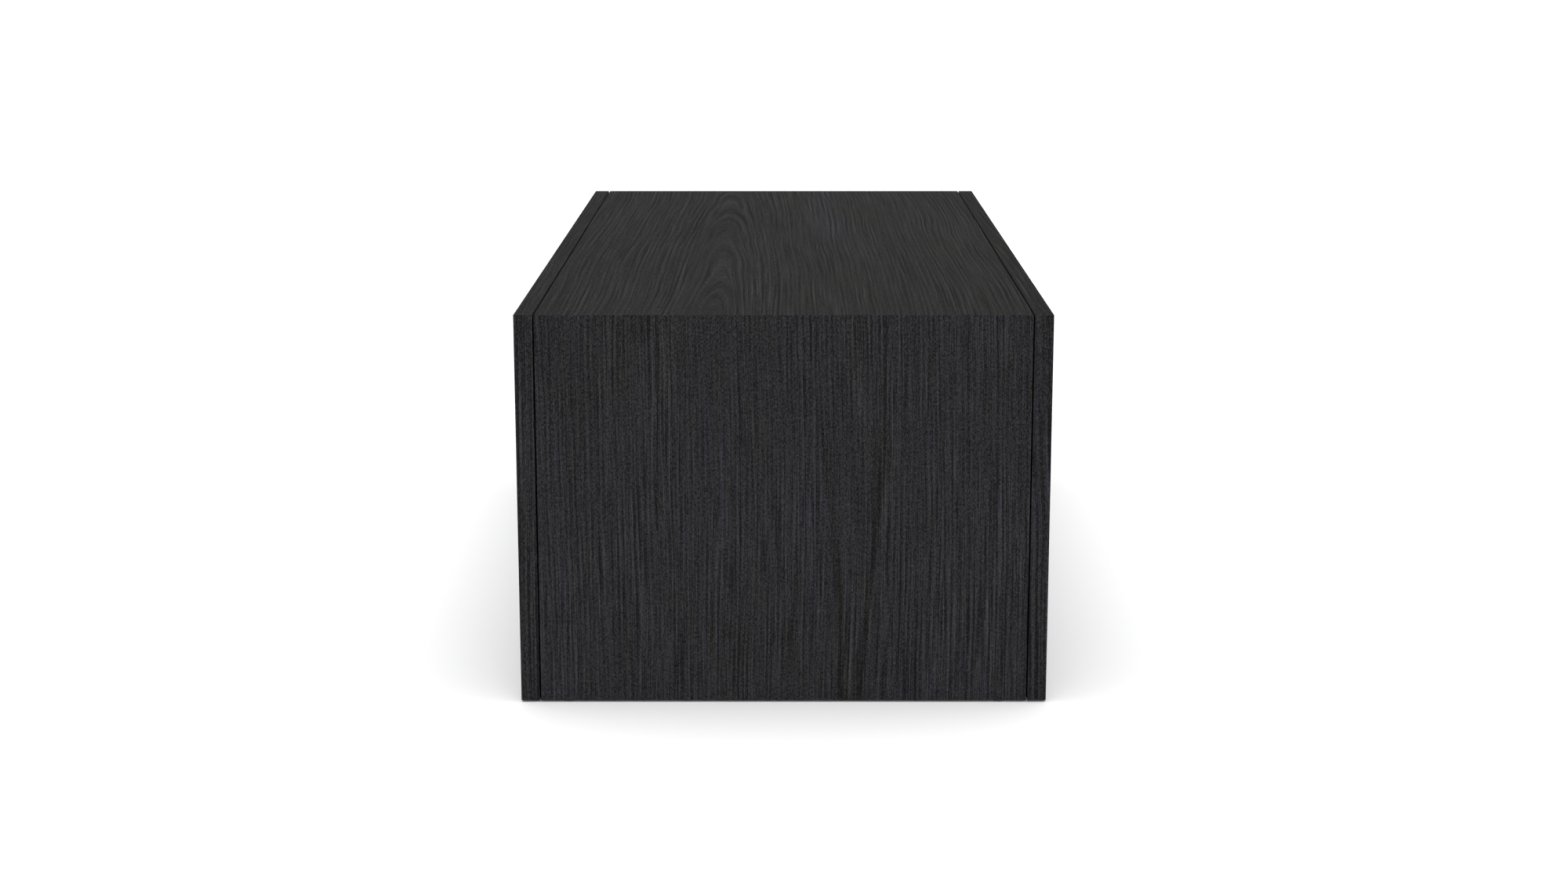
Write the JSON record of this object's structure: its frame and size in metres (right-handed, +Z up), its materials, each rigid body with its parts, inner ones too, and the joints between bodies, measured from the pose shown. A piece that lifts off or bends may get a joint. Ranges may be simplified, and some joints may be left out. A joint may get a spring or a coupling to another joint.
{
  "type": "storage coffee table",
  "caption": "Low rectangular storage table with a mitred black-stained oak carcass and opposed full-length push-to-open drawers whose handle-less fronts cover both long sides.",
  "frame": {"origin": "centre of the footprint, on the floor under the glides", "axes": "+Z up, Y along the length with the pictured end at -Y, X across the width with one drawer opening towards -X and the other towards +X"},
  "size_m": [0.572, 1.2, 0.427],
  "materials": {
    "black_oak": "black-stained open-pore oak veneer, matt",
    "black_board": "dark anthracite faced board, matt",
    "drawer_board": "dark anthracite faced board, matt",
    "beech": "unfinished beech",
    "zinc": "zinc die casting",
    "steel": "bright zinc plated",
    "runner_steel": "zinc plated sheet",
    "cage_steel": "zinc plated sheet",
    "ball_steel": "polished",
    "glide_plastic": "matt",
    "black_plastic": "matt acetal"
  },
  "bodies": {
    "carcass": {"top_panel": "black_oak", "end_panel_front": "black_oak", "end_panel_rear": "black_oak", "bottom_panel": "black_board", "centre_divider": "black_board", "mitre_splines": "beech", "carcass_dowels": "beech", "cam_discs": "zinc", "cam_bolts": "steel", "floor_glides": "glide_plastic", "runner_cabinet_screws": "steel", "base_screws": "steel", "stabiliser_racks": "black_plastic", "runner_cabinet_left": "runner_steel", "latch_housing_left": "black_plastic", "latch_spring_left": "steel", "runner_cabinet_right": "runner_steel", "latch_housing_right": "black_plastic", "latch_spring_right": "steel"},
    "drawer_left": {"drawer_front_left": "black_oak", "drawer_side_front_left": "drawer_board", "drawer_side_rear_left": "drawer_board", "drawer_inner_front_left": "drawer_board", "drawer_back_left": "drawer_board", "drawer_bottom_left": "drawer_board", "drawer_dowels_left": "beech", "drawer_front_screws_left": "steel", "drawer_hardware_screws_left": "steel", "runner_drawer_left": "runner_steel", "stabiliser_brackets_left": "black_plastic", "latch_strike_left": "black_plastic"},
    "runner_middles_left": {"runner_middle_left": "runner_steel"},
    "outer_cages_left": {"cage_outer_left": "cage_steel", "balls_outer_left": "ball_steel"},
    "inner_cages_left": {"cage_inner_left": "cage_steel", "balls_inner_left": "ball_steel"},
    "stabiliser_left": {"stabiliser_shaft_left": "steel", "stabiliser_pinions_left": "black_plastic"},
    "latch_plungers_left": {"latch_plunger_left": "black_plastic"},
    "drawer_right": {"drawer_front_right": "black_oak", "drawer_side_front_right": "drawer_board", "drawer_side_rear_right": "drawer_board", "drawer_inner_front_right": "drawer_board", "drawer_back_right": "drawer_board", "drawer_bottom_right": "drawer_board", "drawer_dowels_right": "beech", "drawer_front_screws_right": "steel", "drawer_hardware_screws_right": "steel", "runner_drawer_right": "runner_steel", "stabiliser_brackets_right": "black_plastic", "latch_strike_right": "black_plastic"},
    "runner_middles_right": {"runner_middle_right": "runner_steel"},
    "outer_cages_right": {"cage_outer_right": "cage_steel", "balls_outer_right": "ball_steel"},
    "inner_cages_right": {"cage_inner_right": "cage_steel", "balls_inner_right": "ball_steel"},
    "stabiliser_right": {"stabiliser_shaft_right": "steel", "stabiliser_pinions_right": "black_plastic"},
    "latch_plungers_right": {"latch_plunger_right": "black_plastic"}
  },
  "joints": [
    {"name": "drawer_left_slide", "type": "slide", "parent": "carcass", "child": "drawer_left", "axis": [-1, 0, 0], "range_m": [-0.0015, 0.224]},
    {"name": "runner_middle_left_slide", "type": "slide", "parent": "carcass", "child": "runner_middles_left", "axis": [-1, 0, 0], "range_m": [-0.00075, 0.11201]},
    {"name": "outer_cage_left_slide", "type": "slide", "parent": "carcass", "child": "outer_cages_left", "axis": [-1, 0, 0], "range_m": [-0.00038, 0.05601]},
    {"name": "inner_cage_left_slide", "type": "slide", "parent": "carcass", "child": "inner_cages_left", "axis": [-1, 0, 0], "range_m": [-0.00113, 0.16801]},
    {"name": "stabiliser_left_spin", "type": "hinge", "parent": "drawer_left", "child": "stabiliser_left", "pos_m": [-0.034, 0, 0.037], "axis": [0, -1, 0], "range_deg": [-10.8, 1605]},
    {"name": "latch_left_press", "type": "slide", "parent": "carcass", "child": "latch_plungers_left", "axis": [-1, 0, 0], "range_m": [-0.003, 0], "stiffness_N_per_m": 300, "springref_m": 0.004, "deforming": ["latch_spring_left"]},
    {"name": "drawer_right_slide", "type": "slide", "parent": "carcass", "child": "drawer_right", "axis": [1, 0, 0], "range_m": [-0.0015, 0.224]},
    {"name": "runner_middle_right_slide", "type": "slide", "parent": "carcass", "child": "runner_middles_right", "axis": [1, 0, 0], "range_m": [-0.00075, 0.11201]},
    {"name": "outer_cage_right_slide", "type": "slide", "parent": "carcass", "child": "outer_cages_right", "axis": [1, 0, 0], "range_m": [-0.00038, 0.05601]},
    {"name": "inner_cage_right_slide", "type": "slide", "parent": "carcass", "child": "inner_cages_right", "axis": [1, 0, 0], "range_m": [-0.00113, 0.16801]},
    {"name": "stabiliser_right_spin", "type": "hinge", "parent": "drawer_right", "child": "stabiliser_right", "pos_m": [0.034, 0, 0.037], "axis": [0, 1, 0], "range_deg": [-10.8, 1605]},
    {"name": "latch_right_press", "type": "slide", "parent": "carcass", "child": "latch_plungers_right", "axis": [1, 0, 0], "range_m": [-0.003, 0], "stiffness_N_per_m": 300, "springref_m": 0.004, "deforming": ["latch_spring_right"]}
  ],
  "couplings": [
    {"joint": "runner_middle_left_slide", "follows": "drawer_left_slide", "ratio": 0.5},
    {"joint": "outer_cage_left_slide", "follows": "drawer_left_slide", "ratio": 0.25},
    {"joint": "inner_cage_left_slide", "follows": "drawer_left_slide", "ratio": 0.75},
    {"joint": "stabiliser_left_spin", "follows": "drawer_left_slide", "rad_per_m": 125},
    {"joint": "runner_middle_right_slide", "follows": "drawer_right_slide", "ratio": 0.5},
    {"joint": "outer_cage_right_slide", "follows": "drawer_right_slide", "ratio": 0.25},
    {"joint": "inner_cage_right_slide", "follows": "drawer_right_slide", "ratio": 0.75},
    {"joint": "stabiliser_right_spin", "follows": "drawer_right_slide", "rad_per_m": 125}
  ]
}
